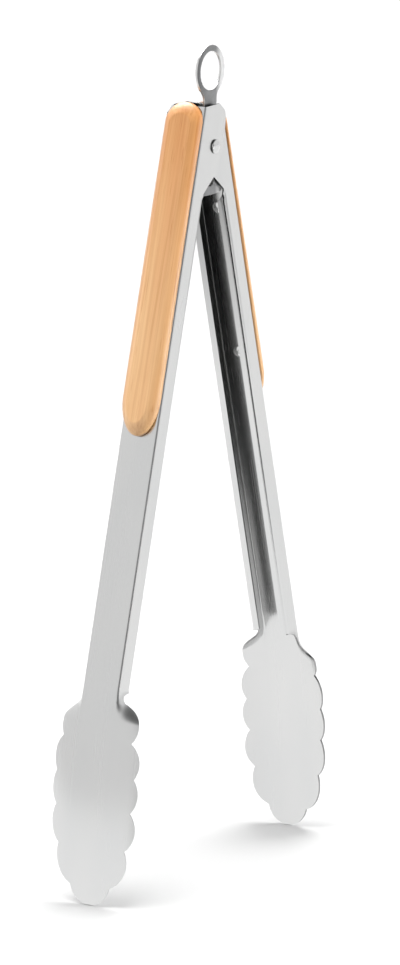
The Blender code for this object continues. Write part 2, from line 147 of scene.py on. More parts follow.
SLEEVE_R = 3.3 * MM
SLEEVE_BORE = 2.8 * MM
SLEEVE_HALF = 0.5 * WIDTH - ARM_SHIFT - SHEET - GAP
SLEEVE_EDGE = 0.2 * MM
SLEEVE_STEPS = 56
WIRE_R = 0.7 * MM
COIL_R = 4.8 * MM
COIL_TURNS = 5
COIL_STEPS = 40
COIL_Y = (5.6 * MM, -4.0 * MM)
LEG_U = 31.0 * MM
LEG_STEPS = 24


# ------------------------------------------------------------------ node trees

# How patterns are stretched along a piece's own axes: not at all, or drawn out along an arm
ROUND = (1.0, 1.0, 1.0)
ALONG = (0.02, 1.0, 0.005)
HAZE_STRETCH = (1.0, 1.0, 0.4)

WHITE = (1.0, 1.0, 1.0)
NOISE_BAND = (0.3, 0.7)

# Where an arm's lips and edges get painted shade, in the arm's own coordinates
JOINT_SHADE_Z = (-40.0 * MM, -30.0 * MM)
LIP_X = (-5.8 * MM, -4.8 * MM)
LIP_TOP_Z = (-24.0 * MM, -28.0 * MM)
LIP_SHADE_FADE_Z = (-130.0 * MM, -35.0 * MM)
LIP_SHADE_SHARE = 0.42
LIP_SHADE = (0.05, 0.05, 0.05)
# Colours of the sheared edges: far from the joint a duller tone with painted shade, at the joint
# black painted shade
RIM_TONES_AND_SHADE = ((0.33, 0.33, 0.33), (0.05, 0.05, 0.05))

# Painted sheen: the wood turns paler towards its foot, in place of the lacquer's reflection of the
# bright floor
BEECH_SHEENED_Z = (0.0, -0.1)
BEECH_ORANGE = [(0.3, (0.37, 0.160, 0.055)), (0.5, (0.43, 0.203, 0.075)),
                (0.7, (0.475, 0.250, 0.102))]
BEECH_SHEENED = [(0.3, (0.44, 0.240, 0.105)), (0.5, (0.50, 0.295, 0.142)),
              (0.7, (0.54, 0.345, 0.180))]
BEECH_GRAIN = [(0.34, (0.80, 0.73, 0.64)), (0.6, WHITE)]
BEECH_FLECKS = [(0.64, WHITE), (0.74, (0.74, 0.60, 0.48))]

# Tone of the plate's faces across X: painted shade at -X, a painted highlight at +X
PLATE_SIDE_LIGHT = [(0.0, (0.16, 0.162, 0.165)), (0.35, (0.26, 0.262, 0.265)),
              (0.68, (0.275, 0.277, 0.28)), (0.86, (0.80, 0.80, 0.80))]
PLATE_STREAKS = [(0.3, (0.86, 0.86, 0.86)), (0.7, WHITE)]
PLATE_RIM = (0.66, 0.66, 0.655)


def rgba(color):
    """Four values from a colour or from a grey level."""
    return (color, color, color, 1.0) if isinstance(color, float) else (*color, 1.0)


class Tree:
    """The node tree of a material or of the world, with short calls for the nodes used below."""

    def __init__(self, owner):
        owner.use_nodes = True
        self.owner = owner
        self.nodes = owner.node_tree.nodes
        self.links = owner.node_tree.links
        self.bsdf = self.nodes.get("Principled BSDF")

    def node(self, kind, **values):
        node = self.nodes.new(kind)
        for key, value in values.items():
            if key in node.inputs:
                node.inputs[key].default_value = value
            else:
                setattr(node, key, value)
        return node

    def link(self, source, target):
        self.links.new(source, target)

    def drive(self, key, source):
        """Lets a node's output give one input of the surface."""
        self.link(source, self.bsdf.inputs[key])

    def preset(self, values):
        """Sets plain values of the surface, by the names of its inputs."""
        for key, value in values.items():
            self.bsdf.inputs[key].default_value = value

    def coords(self, scale):
        """The piece's own coordinates, kept by settle(), stretched by scale."""
        lay = self.node("ShaderNodeAttribute", attribute_name=LAY)
        mapping = self.node("ShaderNodeMapping")
        mapping.inputs["Scale"].default_value = scale
        self.link(lay.outputs["Vector"], mapping.inputs["Vector"])
        return mapping.outputs["Vector"]

    def separate(self, vector):
        node = self.node("ShaderNodeSeparateXYZ")
        self.link(vector, node.inputs["Vector"])
        return node.outputs

    def noise(self, scale, stretch, detail=3.0, roughness=0.55, distortion=0.0):
        node = self.node("ShaderNodeTexNoise", Scale=scale, Detail=detail, Roughness=roughness,
                         Distortion=distortion)
        self.link(self.coords(stretch), node.inputs["Vector"])
        return node.outputs["Fac"]

    def ramp(self, source, stops):
        """Colours by source; stops are (place, colour) or (place, grey)."""
        node = self.node("ShaderNodeValToRGB")
        elements = node.color_ramp.elements
        while len(elements) < len(stops):
            elements.new(0.5)
        for element, (place, color) in zip(elements, stops):
            element.position = place
            element.color = rgba(color)
        self.link(source, node.inputs["Fac"])
        return node.outputs["Color"]

    def span(self, source, ends, out_low, out_high):
        """Maps source from its ends to the range from out_low to out_high, and clamps it there."""
        node = self.node("ShaderNodeMapRange")
        for key, value in (("From Min", ends[0]), ("From Max", ends[1]), ("To Min", out_low),
                           ("To Max", out_high)):
            node.inputs[key].default_value = value
        self.link(source, node.inputs["Value"])
        return node.outputs["Result"]

    def mix(self, a, b, factor, mode="MIX"):
        """Mixes two colours; each argument is a plain value or a node's output."""
        node = self.node("ShaderNodeMix", data_type="RGBA", blend_type=mode)
        for value, socket in ((factor, node.inputs[0]), (a, node.inputs[6]), (b, node.inputs[7])):
            if isinstance(value, float):
                socket.default_value = value
            elif isinstance(value, tuple):
                socket.default_value = rgba(value)
            else:
                self.link(value, socket)
        return node.outputs[2]

    def times(self, a, b):
        node = self.node("ShaderNodeMath", operation="MULTIPLY")
        self.link(a, node.inputs[0])
        self.link(b, node.inputs[1])
        return node.outputs["Value"]

    def bump(self, height, strength, distance):
        node = self.node("ShaderNodeBump", Strength=strength, Distance=distance)
        self.link(height, node.inputs["Height"])
        self.drive("Normal", node.outputs["Normal"])


def material_tree(name):
    return Tree(bpy.data.materials.new(name))


def darkened(tree, face, rim):
    """The arm's colour with painted shade on its lips near the joint, and its sheared edges darker:
    partly their own tone, partly painted shade.
    """
    own = tree.separate(tree.coords(ROUND))
    # Painted shade: the lips turn darker below the ears and fade out down the arm, as shade inside
    # the channel
    on_lip = tree.span(own["X"], LIP_X, 0.0, 1.0)
    below_ears = tree.span(own["Z"], LIP_TOP_Z, 0.0, 1.0)
    fading = tree.span(own["Z"], LIP_SHADE_FADE_Z, 0.0, LIP_SHADE_SHARE)
    shaded = tree.mix(face, LIP_SHADE, tree.times(tree.times(on_lip, below_ears), fading))
    # The sheared edges: a duller tone with painted shade, going over to black painted shade at the
    # joint
    far, near = rim
    edge = tree.mix(far, near, tree.span(own["Z"], JOINT_SHADE_Z, 0.0, 1.0))
    mask = tree.node("ShaderNodeAttribute", attribute_name=RIM)
    return tree.mix(shaded, edge, mask.outputs["Fac"])


def steel(name, color, roughness, stretch, rim=None, metallic=1.0):
    """Satin stainless: fine polishing lines along stretch under a faint haze.

    rim gives an arm the colours of its sheared edges, far from the joint and at it: their own
    duller tone with painted shade, and black painted shade at the joint."""
    tree = material_tree(name)
    lines = tree.noise(1800.0, stretch, detail=2.0, roughness=0.6)
    clouds = tree.noise(35.0, HAZE_STRETCH, detail=2.0)
    dark = tuple(0.99 * c for c in color)
    light = tuple(1.005 * c for c in color)
    tone = tree.ramp(lines, [(0.3, dark), (0.7, light)])
    haze = tree.ramp(clouds, [(0.35, (0.965, 0.97, 0.975)), (0.65, WHITE)])
    face = tree.mix(tone, haze, 1.0, "MULTIPLY")
    if rim is not None:
        face = darkened(tree, face, rim)
    tree.drive("Base Color", face)
    tree.drive("Roughness", tree.span(lines, NOISE_BAND, roughness - 0.01, roughness + 0.015))
    tree.preset({"Metallic": metallic})
    return tree.owner


def beech(name):
    """Lacquered beech: straight fibres, colour bands, ray flecks, and a painted sheen that makes it
    paler towards its foot.
    """
    tree = material_tree(name)
    bands = tree.noise(110.0, (1.0, 1.0, 0.02), detail=3.0, roughness=0.55, distortion=0.2)
    fibres = tree.noise(900.0, (1.0, 1.0, 0.012), detail=3.0, roughness=0.7)
    flecks = tree.noise(1300.0, (1.0, 1.0, 0.05), detail=1.0)
    # Painted sheen: paler towards the foot
    down = tree.span(tree.separate(tree.coords(ROUND))["Z"], BEECH_SHEENED_Z, 0.0, 1.0)
    base = tree.mix(tree.ramp(bands, BEECH_ORANGE), tree.ramp(bands, BEECH_SHEENED), down)
    grained = tree.mix(base, tree.ramp(fibres, BEECH_GRAIN), 0.75, "MULTIPLY")
    flecked = tree.mix(grained, tree.ramp(flecks, BEECH_FLECKS), 0.7, "MULTIPLY")
    tree.drive("Base Color", flecked)
    tree.drive("Roughness", tree.span(fibres, NOISE_BAND, 0.46, 0.36))
    tree.preset({"Coat Weight": 0.5, "Coat Roughness": 0.38})
    tree.bump(fibres, 0.3, 0.04 * MM)
    return tree.owner


def plate_metal(name):
    """Tumbled plate: dark tumbled faces with painted shade towards -X and a painted highlight
    towards +X, and bright edges where the normal leaves Y.
    """
    tree = material_tree(name)
    grain = tree.noise(260.0, (1.0, 1.0, 0.15), detail=3.0, roughness=0.6)
    mottle = tree.noise(420.0, ROUND, detail=2.0)
    # Painted shade and painted highlight across the plate, by its own X
    across = tree.span(tree.separate(tree.coords(ROUND))["X"], (-RING_OUTER_R, RING_OUTER_R),
                       0.0, 1.0)
    face = tree.mix(tree.ramp(across, PLATE_SIDE_LIGHT), tree.ramp(grain, PLATE_STREAKS), 1.0,
                    "MULTIPLY")
    geometry = tree.node("ShaderNodeNewGeometry")
    size = tree.node("ShaderNodeMath", operation="ABSOLUTE")
    tree.link(tree.separate(geometry.outputs["Normal"])["Y"], size.inputs[0])
    edge = tree.span(size.outputs["Value"], (0.9, 0.4), 0.0, 1.0)
    tree.drive("Base Color", tree.mix(face, PLATE_RIM, edge))
    tree.drive("Roughness", tree.span(mottle, NOISE_BAND, 0.30, 0.40))
    tree.preset({"Metallic": 1.0})
    tree.bump(mottle, 0.12, 0.01 * MM)
    return tree.owner


ARM_STEEL = steel("arm_satin_steel", (0.605, 0.605, 0.602), 0.26, ALONG, rim=RIM_TONES_AND_SHADE)
PLATE_STEEL = plate_metal("plate_steel")
RIVET_STEEL = steel("rivet_polished_steel", (0.62, 0.62, 0.615), 0.18, ROUND)
SCREW_STEEL = steel("screw_steel", (0.8, 0.8, 0.79), 0.2, ROUND, metallic=0.8)
WIRE_STEEL = steel("spring_wire_steel", (0.42, 0.42, 0.41), 0.25, ROUND)
BEECH = beech("lacquered_beech")


# ------------------------------------------------------------------ objects

def add_object(name, data, mat=None):
    obj = bpy.data.objects.new(name, data)
    bpy.context.scene.collection.objects.link(obj)
    if mat is not None:
        data.materials.append(mat)
    return obj


def swing_matrix(side):
    """Places the arm's own frame: u down, v outward, y across."""
    turn = Matrix.Rotation(SIDE_TURN[side], 4, "Z")
    lean = Matrix.Rotation(OPEN_HALF_ANGLE, 4, "Y")
    return Matrix.Translation(PIVOT) @ turn @ lean


def on_midline(v, u):
    """A place in the arm's frame on the channel's middle line, its Z axis facing outward."""
    return Matrix.Translation((-v, -ARM_SHIFT, -u)) @ FACING_OUT


def shade(mesh, angle):
    """Smooth shading with sharp edges from the angle, in degrees."""
    mesh.shade_smooth()
    mesh.set_sharp_from_angle(angle=math.radians(angle))


def mesh_from(bm, name):
    mesh = bpy.data.meshes.new(name)
    bm.to_mesh(mesh)
    bm.free()
    return mesh


def bridge(bm, low, high):
    """Side faces between two closed rings of the same number of vertices."""
    for i in range(len(low)):
        j = (i + 1) % len(low)
        bm.faces.new((low[i], low[j], high[j], high[i]))


def rod_cutter(name, radius, length, place, segments=40):
    bm = bmesh.new()
    bmesh.ops.create_cone(bm, cap_ends=True, segments=segments, radius1=radius, radius2=radius,
                          depth=length)
    bm.transform(place)
    return add_object(name, mesh_from(bm, name))


def cut(target, cutter):
    mod = target.modifiers.new("cut", "BOOLEAN")
    mod.operation = "DIFFERENCE"
    mod.solver = "EXACT"
    mod.object = cutter


def evaluated_mesh(obj):
    """A new mesh of the object as its modifiers or its curve give it."""
    bpy.context.view_layer.update()
    graph = bpy.context.evaluated_depsgraph_get()
    return bpy.data.meshes.new_from_object(obj.evaluated_get(graph), depsgraph=graph)


def baked(obj, helpers=()):
    """Applies the object's modifiers and removes the helper objects they used."""
    mesh = evaluated_mesh(obj)
    old = obj.data
    obj.modifiers.clear()
    obj.data = mesh
    bpy.data.meshes.remove(old)
    for helper in helpers:
        bpy.data.objects.remove(helper, do_unlink=True)


def add_path(curve, points, closed):
    spline = curve.splines.new("POLY")
    spline.points.add(len(points) - 1)
    for point, place in zip(spline.points, points):
        point.co = (*place, 1.0)
    spline.use_cyclic_u = closed


def curve_mesh(name, curve):
    """The mesh a curve gives, by way of an object that is removed again."""
    holder = add_object(name, curve)
    mesh = evaluated_mesh(holder)
    bpy.data.objects.remove(holder, do_unlink=True)
    return mesh


def settle(obj, place):
    """Keeps the mesh's own coordinates for its material, then moves the mesh into place."""
    mesh = obj.data
    own = np.empty(3 * len(mesh.vertices), dtype=np.float32)
    mesh.vertices.foreach_get("co", own)
    mesh.attributes.new(LAY, "FLOAT_VECTOR", "POINT").data.foreach_set("vector", own)
    mesh.transform(place)


def finished(obj, body, node):
    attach(obj, body)
    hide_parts(node)


# ------------------------------------------------------------------ arm pressing

# s is the distance from the channel's middle over the flat blank; where each part of it ends
FLAT_S = 0.5 * WIDTH - BEND_R
BEND_S = 0.5 * math.pi * BEND_R
FLANGE_S = FLAT_S + BEND_S
LIP_BEND_S = FLANGE_S + DEPTH - 2.0 * BEND_R
LIP_FLAT_S = LIP_BEND_S + BEND_S
FULL_S = LIP_FLAT_S + LIP - BEND_R

# Outlines of the ears as (u, v) in mm, from the top down to the pivot's height and below it
EAR_END = -6.95
OUTER_EAR = [(-20.7, 1.45), (-18.8, -1.3), (-16.9, -4.0), (-14.4, -5.6), (-10.0, -6.5),
             (-5.0, -6.9), (0.0, EAR_END)]
INNER_EAR = [(-13.8, -6.3), (-12.5, -6.5), (-11.3, -6.6), (-9.6, -6.75), (-6.7, -6.85),
             (-3.3, -6.95), (0.0, EAR_END)]
EAR_FOOT = [(0.0, EAR_END), (2.0, -6.7), (4.5, -6.05), (8.4, -5.95), (11.9, -5.4), (14.6, -3.1),
            (19.2, 0.6), (24.0, 4.2)]
WEB_TOP = -17.0 * MM
OUTER_ROOT = -17.4 * MM
INNER_ROOT = -12.5 * MM
ROOT_POWER = 6

# Where the lip's end swells to its full width, as (u, s)
LIP_SWELL = [(LIP_START, 0.5 * (LIP_BEND_S + LIP_FLAT_S)), (28.6 * MM, LIP_FLAT_S + 0.3 * MM),
             (LIP_FULL, FULL_S)]

# Outline of the head as (u, s) in mm: the cut-back flange, then the notches between the lobes
FLANGE_END = [(265.0, 21.9), (265.8, 19.3), (266.8, 16.2), (267.9, 14.4), (269.6, 13.9)]
NOTCHES = [(271.2, 14.9), (289.8, 19.4), (306.8, 22.2), (323.1, 21.3), (341.5, 18.9),
           (360.1, 11.0)]
BULGES = [4.87, 3.47, 2.87, 3.87, 4.27]
TIP_BULGE = 8.99

# Rows and columns of the grid; STRAIGHT_U are the rows of the plain channel, in mm
STRAIGHT_U = range(50, 260, 20)
EAR_PARTS = 4
FOOT_PARTS = 3
LIP_PARTS = 2
END_PARTS = 3
FLAT_PARTS = 6
BEND_PARTS = 8
LOBE_STEPS = 16
TIP_STEPS = 18
TIP_SHARE = 0.49
TIP_CROWDING = 1.15
SECTION_STEPS = 400


def smoothstep(a, b, x):
    t = min(max((x - a) / (b - a), 0.0), 1.0)
    return t * t * (3.0 - 2.0 * t)


def unfolded(u):
    """Share of the channel's bends that has opened out into the dish at u."""
    first = (1.0 - FOLD_LEFT) * smoothstep(UNFOLD_START, UNFOLD_END, u)
    return first + FOLD_LEFT * smoothstep(FOLD_FADE[0], FOLD_FADE[1], u)


def centre_depth(u):
    """v of the channel's middle, which curves inward along the dish."""
    over = max(u - DISH_START, 0.0)
    return BACK - over * over / (2.0 * DISH_LONG_RADIUS)


def section(u, distances):
    """(y, v) of the outer face across row u, at increasing developed distances from 0."""
    fine = np.linspace(0.0, distances[-1], SECTION_STEPS)
    middle = 0.5 * (fine[1:] + fine[:-1])
    turn = np.clip((middle - FLAT_S) / BEND_S, 0.0, 1.0)
    if u > LIP_START - TINY:
        turn += np.clip((middle - LIP_BEND_S) / BEND_S, 0.0, 1.0)
    spread = unfolded(u)
    angle = (1.0 - spread) * 0.5 * math.pi * turn + spread * middle / DISH_CROSS_RADIUS
    step = fine[1] - fine[0]
    y = np.concatenate(([0.0], np.cumsum(np.cos(angle) * step)))
    v = np.concatenate(([0.0], np.cumsum(-np.sin(angle) * step)))
    return np.interp(distances, fine, y), centre_depth(u) + np.interp(distances, fine, v)


def ear_s(v):
    """Developed distance of the point of an ear that lies at v."""
    return FLANGE_S + BACK - BEND_R - v


def top_edge(s, trim):
    """u of the arm's top edge at developed distance s, the outside ear's side negative."""
    if s < 0.0:
        root = OUTER_ROOT + trim
        corner = OUTER_EAR[0][0] * MM + trim
        corner_v = OUTER_EAR[0][1]
    else:
        root = INNER_ROOT
        corner = INNER_EAR[0][0] * MM
        corner_v = INNER_EAR[0][1]
    web = WEB_TOP + trim
    reach = abs(s)
    if reach < FLANGE_S:
        return web + (root - web) * (reach / FLANGE_S) ** ROOT_POWER
    run = ear_s(corner_v * MM) - FLANGE_S
    return root + (corner - root) * (reach - FLANGE_S) / run


def arc_point(a, b, bulge, t):
    """Point at t of the circular arc from a to b that rises by bulge beyond the chord."""
    ax, ay = a
    bx, by = b
    half = 0.5 * math.hypot(bx - ax, by - ay)
    radius = (half * half + bulge * bulge) / (2.0 * bulge)
    angle = math.asin(half / radius) * (2.0 * t - 1.0)
    along = radius * math.sin(angle) / half
    rise = radius * math.cos(angle) - (radius - bulge)
    nx, ny = -(by - ay) / (2.0 * half), (bx - ax) / (2.0 * half)
    return (0.5 * (ax + bx) + along * 0.5 * (bx - ax) + nx * rise,
            0.5 * (ay + by) + along * 0.5 * (by - ay) + ny * rise)


def refined(points, parts):
    """The points of a polyline with each side cut into parts."""
    out = []
    for a, b in zip(points, points[1:]):
        for i in range(parts):
            t = i / parts
            out.append(tuple(p + (q - p) * t for p, q in zip(a, b)))
    return out + [points[-1]]


def eased(points, parts):
    """A Catmull-Rom curve through the points, with parts steps on each side."""
    padded = [points[0]] + points + [points[-1]]
    out = []
    for a, b, c, d in zip(padded, padded[1:], padded[2:], padded[3:]):
        for i in range(parts):
            t = i / parts
            out.append(tuple(0.5 * (2 * q + (r - p) * t + (2 * p - 5 * q + 4 * r - e) * t * t
                                    + (3 * q - p - 3 * r + e) * t ** 3)
                             for p, q, r, e in zip(a, b, c, d)))
    return out + [points[-1]]


def in_metres(points):
    return [(u * MM, s * MM) for u, s in points]


def ear_rows():
    """Rows over the ears: (share of the ear's height, reach outside, reach inside)."""
    ears = [(u / OUTER_EAR[0][0], ear_s(v_out * MM), ear_s(v_in * MM))
            for (u, v_out), (_, v_in) in zip(OUTER_EAR, INNER_EAR)]
    return eased(ears, EAR_PARTS)


def arm_rows():
    """Rows from below the pivot's height down to the tip: (u, reach on both sides)."""
    rows = eased([(u * MM, ear_s(v * MM)) for u, v in EAR_FOOT], FOOT_PARTS)[1:]
    rows += refined([rows[-1]] + LIP_SWELL, LIP_PARTS)[1:]
    rows += [(u * MM, FULL_S) for u in STRAIGHT_U]
    rows += refined([(LIP_END, FULL_S)] + in_metres(FLANGE_END), END_PARTS)
    for start, end, bulge in zip(NOTCHES, NOTCHES[1:], BULGES):
        rows += in_metres(arc_point(start, end, bulge, i / LOBE_STEPS) for i in range(LOBE_STEPS))
    last_u, last_s = NOTCHES[-1]
    for i in range(TIP_STEPS):
        t = TIP_SHARE * math.sin(0.5 * math.pi * i / (TIP_STEPS - 1)) ** TIP_CROWDING
        rows += in_metres([arc_point((last_u, last_s), (last_u, -last_s), TIP_BULGE, t)])
    return rows


def column_distances():
    """Columns over half the blank: web, bend, flange, lip bend and lip."""
    cols = []
    for start, end, parts in ((0.0, FLAT_S, FLAT_PARTS), (FLAT_S, FLANGE_S, BEND_PARTS),
                              (FLANGE_S, LIP_BEND_S, FLAT_PARTS),
                              (LIP_BEND_S, LIP_FLAT_S, BEND_PARTS)):
        cols += [start + (end - start) * k / parts for k in range(parts)]
    return cols + [LIP_FLAT_S, 0.5 * (LIP_FLAT_S + FULL_S), FULL_S]


def row_columns(u, reach):
    """Developed distances of the columns in half a row that ends at reach."""
    cols = column_distances()
    if abs(reach - FULL_S) < TINY:
        return cols
    spread = unfolded(u)
    out = []
    for s in cols:
        keep = s
        if s > FLANGE_S:
            keep = FLANGE_S + (s - FLANGE_S) * (reach - FLANGE_S) / (FULL_S - FLANGE_S)
        out.append((1.0 - spread) * keep + spread * reach * s / FULL_S)
    return out


def half_row(place, in_ear, sign, reach, trim):
    """Points from the channel's middle out to reach; place is u, or the share of an ear."""
    level = 0.0 if in_ear else place
    distances = row_columns(level, reach)
    y, v = section(level, np.array(distances))
    points = []
    for s, across, out in zip(distances, y, v):
        u = place * top_edge(sign * s, trim) if in_ear else place
        points.append(Vector((-out, sign * across - ARM_SHIFT, -u)))
    return points


def arm_mesh(name, trim):
    """The outer face of the pressing, a grid of rows from the ears' top to the tip."""
    rows = [(share, True, near, far) for share, near, far in ear_rows()]
    rows += [(u, False, reach, reach) for u, reach in arm_rows()]
    bm = bmesh.new()
    grid = []
    for place, in_ear, near, far in rows:
        outside = half_row(place, in_ear, -1.0, near, trim)
        inside = half_row(place, in_ear, 1.0, far, trim)
        grid.append([bm.verts.new(p) for p in outside[:0:-1] + inside])
    for upper, lower in zip(grid, grid[1:]):
        for i in range(len(upper) - 1):
            bm.faces.new((upper[i], upper[i + 1], lower[i + 1], lower[i]))
    mesh = mesh_from(bm, name)
    mesh.shade_smooth()
    return mesh


def mark_rim(mesh):
    """Turns the second material, which the sheet's rim was given, into the rim attribute."""
    slots = np.empty(len(mesh.polygons), dtype=np.int32)
    mesh.polygons.foreach_get("material_index", slots)
    rim = mesh.attributes.new(RIM, "FLOAT", "FACE")
    rim.data.foreach_set("value", (slots == 1).astype(np.float32))
    mesh.polygons.foreach_set("material_index", np.zeros_like(slots))
    mesh.materials.pop(index=1)


def build_arm(side):
    name = side + "_arm_sheet"
    arm = add_object(name, arm_mesh(name, ARM_TRIM[side]), ARM_STEEL)
    arm.data.materials.append(PLATE_STEEL)
    thick = arm.modifiers.new("sheet", "SOLIDIFY")
    thick.thickness = SHEET
    thick.offset = -1.0
    thick.material_offset_rim = 1
    cutters = [rod_cutter("rivet_hole", RIVET_HOLE_R, 2.0 * WIDTH, ACROSS)]
    for u in SCREW_U.values():
        cutters.append(rod_cutter("screw_hole", SCREW_HOLE_R, 4.0 * SHEET, on_midline(BACK, u)))
    for cutter in cutters:
        cut(arm, cutter)
    edge = arm.modifiers.new("edge", "BEVEL")
    edge.width = EDGE_R
    edge.segments = 2
    edge.limit_method = "ANGLE"
    edge.angle_limit = EDGE_ANGLE
    edge.harden_normals = True
    baked(arm, cutters)
    mark_rim(arm.data)
    settle(arm, swing_matrix(side))
    finished(arm, side + "_lever", side + "_arm")


# ------------------------------------------------------------------ wooden scale

def scale_outline(trim, inset, count=36):
    """Closed outline of the scale as (u, y), drawn in by inset: the foot's arch, then the top's."""
    half = SCALE_HALF_WIDTH - inset
    share = half / SCALE_HALF_WIDTH
    top = SCALE_TOP + trim + inset * SCALE_END_INSET
    bottom = SCALE_BOTTOM - inset * SCALE_END_INSET
    points = []
    for end, arch, sign in ((bottom, -SCALE_BOTTOM_ARCH, 1.0), (top, SCALE_TOP_ARCH, -1.0)):
        for i in range(count + 1):
            a = math.pi * i / count
            points.append((end + share * arch * (1.0 - math.sin(a)), sign * half * math.cos(a)))
    return points


def scale_thickness(u):
    t = (u - SCALE_TOP) / (SCALE_BOTTOM - SCALE_TOP)
    return SCALE_THICK_TOP + (SCALE_THICK_BOTTOM - SCALE_THICK_TOP) * t


def scale_rings(trim):
    """Rings of points round the scale, from the channel's back over the rounding to the top."""
    base = BACK + GAP
    rounding = []
    for i in range(SCALE_STEPS + 1):
        a = SCALE_ARC * i / SCALE_STEPS
        inset = SCALE_ROUND * (1.0 - math.cos(a)) / (1.0 - math.cos(SCALE_ARC))
        rounding.append((inset, math.sin(a) / math.sin(SCALE_ARC)))
    rounding.append((SCALE_TOP_INSET, 1.0))
    rings = []
    for inset, height in SCALE_FOOT:
        rings.append([(-(base + height), y - ARM_SHIFT, -u)
                      for u, y in scale_outline(trim, inset)])
    for inset, lift in rounding:
        rings.append([(-(BACK + scale_thickness(u) - SCALE_ROUND * (1.0 - lift)), y - ARM_SHIFT, -u)
                      for u, y in scale_outline(trim, inset)])
    return rings


def scale_mesh(name, trim):
    bm = bmesh.new()
    rings = [[bm.verts.new(place) for place in ring] for ring in scale_rings(trim)]
    for low, high in zip(rings, rings[1:]):
        bridge(bm, low, high)
    bm.faces.new(rings[0])
    bm.faces.new(rings[-1])
    bmesh.ops.recalc_face_normals(bm, faces=bm.faces[:])
    mesh = mesh_from(bm, name)
    mesh.shade_smooth()
    return mesh


def build_scale(side):
    name = side + "_scale_wood"
    scale = add_object(name, scale_mesh(name, SCALE_TRIM[side]), BEECH)
    depth = SCREW_REACH + 0.3 * MM
    start = 0.5 * MM
    cutters = []
    for u in SCREW_U.values():
        place = on_midline(BACK + 0.5 * depth - start, u)
        cutters.append(rod_cutter("pilot", SCREW_HOLE_R, depth + 2.0 * start, place, 24))
    for cutter in cutters:
        cut(scale, cutter)
    baked(scale, cutters)
    shade(scale.data, angle=60)
    settle(scale, swing_matrix(side))
    finished(scale, side + "_lever", side + "_scale")


# ------------------------------------------------------------------ turned pieces

def turned(name, profile, steps, mat):
    """Turns a profile of (radius, z) about Z."""
    mesh = bpy.data.meshes.new(name)
    verts = [(r, 0.0, z) for r, z in profile]
    mesh.from_pydata(verts, [(i, i + 1) for i in range(len(verts) - 1)], [])
    obj = add_object(name, mesh, mat)
    screw = obj.modifiers.new("turn", "SCREW")
    screw.axis = "Z"
    screw.steps = steps
    screw.render_steps = steps
    screw.use_merge_vertices = True
    screw.merge_threshold = 0.01 * MM
    baked(obj)
    shade(obj.data, angle=40)
    return obj


def cross_cutter():
    """Tapered cross that leaves the recess of a cross head screw."""
    half, reach = CROSS_HALF, CROSS_REACH
    outline = [(reach, -half), (reach, half), (half, half), (half, reach), (-half, reach),
               (-half, half), (-reach, half), (-reach, -half), (-half, -half), (-half, -reach),
               (half, -reach), (half, -half)]
    bm = bmesh.new()
    levels = ((SCREW_HEAD_H - CROSS_DEPTH, 0.5), (SCREW_HEAD_H + 0.5 * MM, 1.1))
    low, high = [[bm.verts.new((share * x, share * y, z)) for x, y in outline]
                 for z, share in levels]
    bridge(bm, low, high)
    bm.faces.new(list(reversed(low)))
    bm.faces.new(high)
    return add_object("cross", mesh_from(bm, "cross"))


def screw_profile():
    """(radius, z) from the head's top to the point, z counted from the seat of the head."""
    edge = 0.12 * MM
    flank = 0.35
    profile = [(0.0, SCREW_HEAD_H)]
    for d in range(10, 91, 8):
        a = math.radians(d)
        height = SCREW_HEAD_H * (flank + (1.0 - flank) * math.cos(a))
        profile.append((SCREW_HEAD_R * math.sin(a), height))
    profile += [(SCREW_HEAD_R, edge), (SCREW_HEAD_R - edge, 0.0), (SCREW_R, 0.0)]
    end = -(SHEET + GAP + SCREW_REACH)
    z = -SHEET - GAP
    while z > end + 1.4 * MM:
        profile += [(SCREW_R, z), (SCREW_R - THREAD_DEPTH, z - 0.5 * THREAD_PITCH)]
        z -= THREAD_PITCH
    return profile + [(SCREW_R - 0.1 * MM, end + 1.2 * MM), (0.3 * MM, end), (0.0, end)]


def build_screw(side, which):
    screw = turned(f"{side}_{which}_screw_piece", screw_profile(), SCREW_STEPS, SCREW_STEEL)
    cutter = cross_cutter()
    cut(screw, cutter)
    baked(screw, [cutter])
    shade(screw.data, angle=40)
    seat = on_midline(BACK - SHEET - GAP, SCREW_U[which])
    turned_in = Matrix.Rotation(SCREW_TURN[which], 4, "Z")
    settle(screw, swing_matrix(side) @ seat @ turned_in)
    finished(screw, side + "_lever", f"{side}_{which}_screw")


def build_rivet():
    near = 0.5 * WIDTH + ARM_SHIFT + GAP
    rim = 0.25 * MM
    edge = 0.08 * MM
    profile = []
    for d in range(0, 91, 6):
        a = math.radians(d)
        height = rim + (RIVET_HEAD_H - rim) * math.cos(a)
        profile.append((RIVET_HEAD_R * math.sin(a), near + height))
    profile += [(RIVET_HEAD_R, near + edge), (RIVET_HEAD_R - edge, near), (RIVET_R, near),
                (RIVET_R, -near), (RIVET_TAIL_R, -near)]
    tail = [(RIVET_TAIL_R, 0.6 * MM), (RIVET_TAIL_R - 0.2 * MM, 0.85 * MM),
            (RIVET_TAIL_R - 0.6 * MM, 1.0 * MM), (1.2 * MM, 1.1 * MM), (0.9 * MM, 0.9 * MM),
            (0.0, 0.8 * MM)]
    profile += [(r, -near - height) for r, height in tail]
    rivet = turned("pivot_rivet_piece", profile, RIVET_STEPS, RIVET_STEEL)
    settle(rivet, Matrix.Translation(PIVOT) @ ACROSS)
    finished(rivet, "pivot", "pivot_rivet")


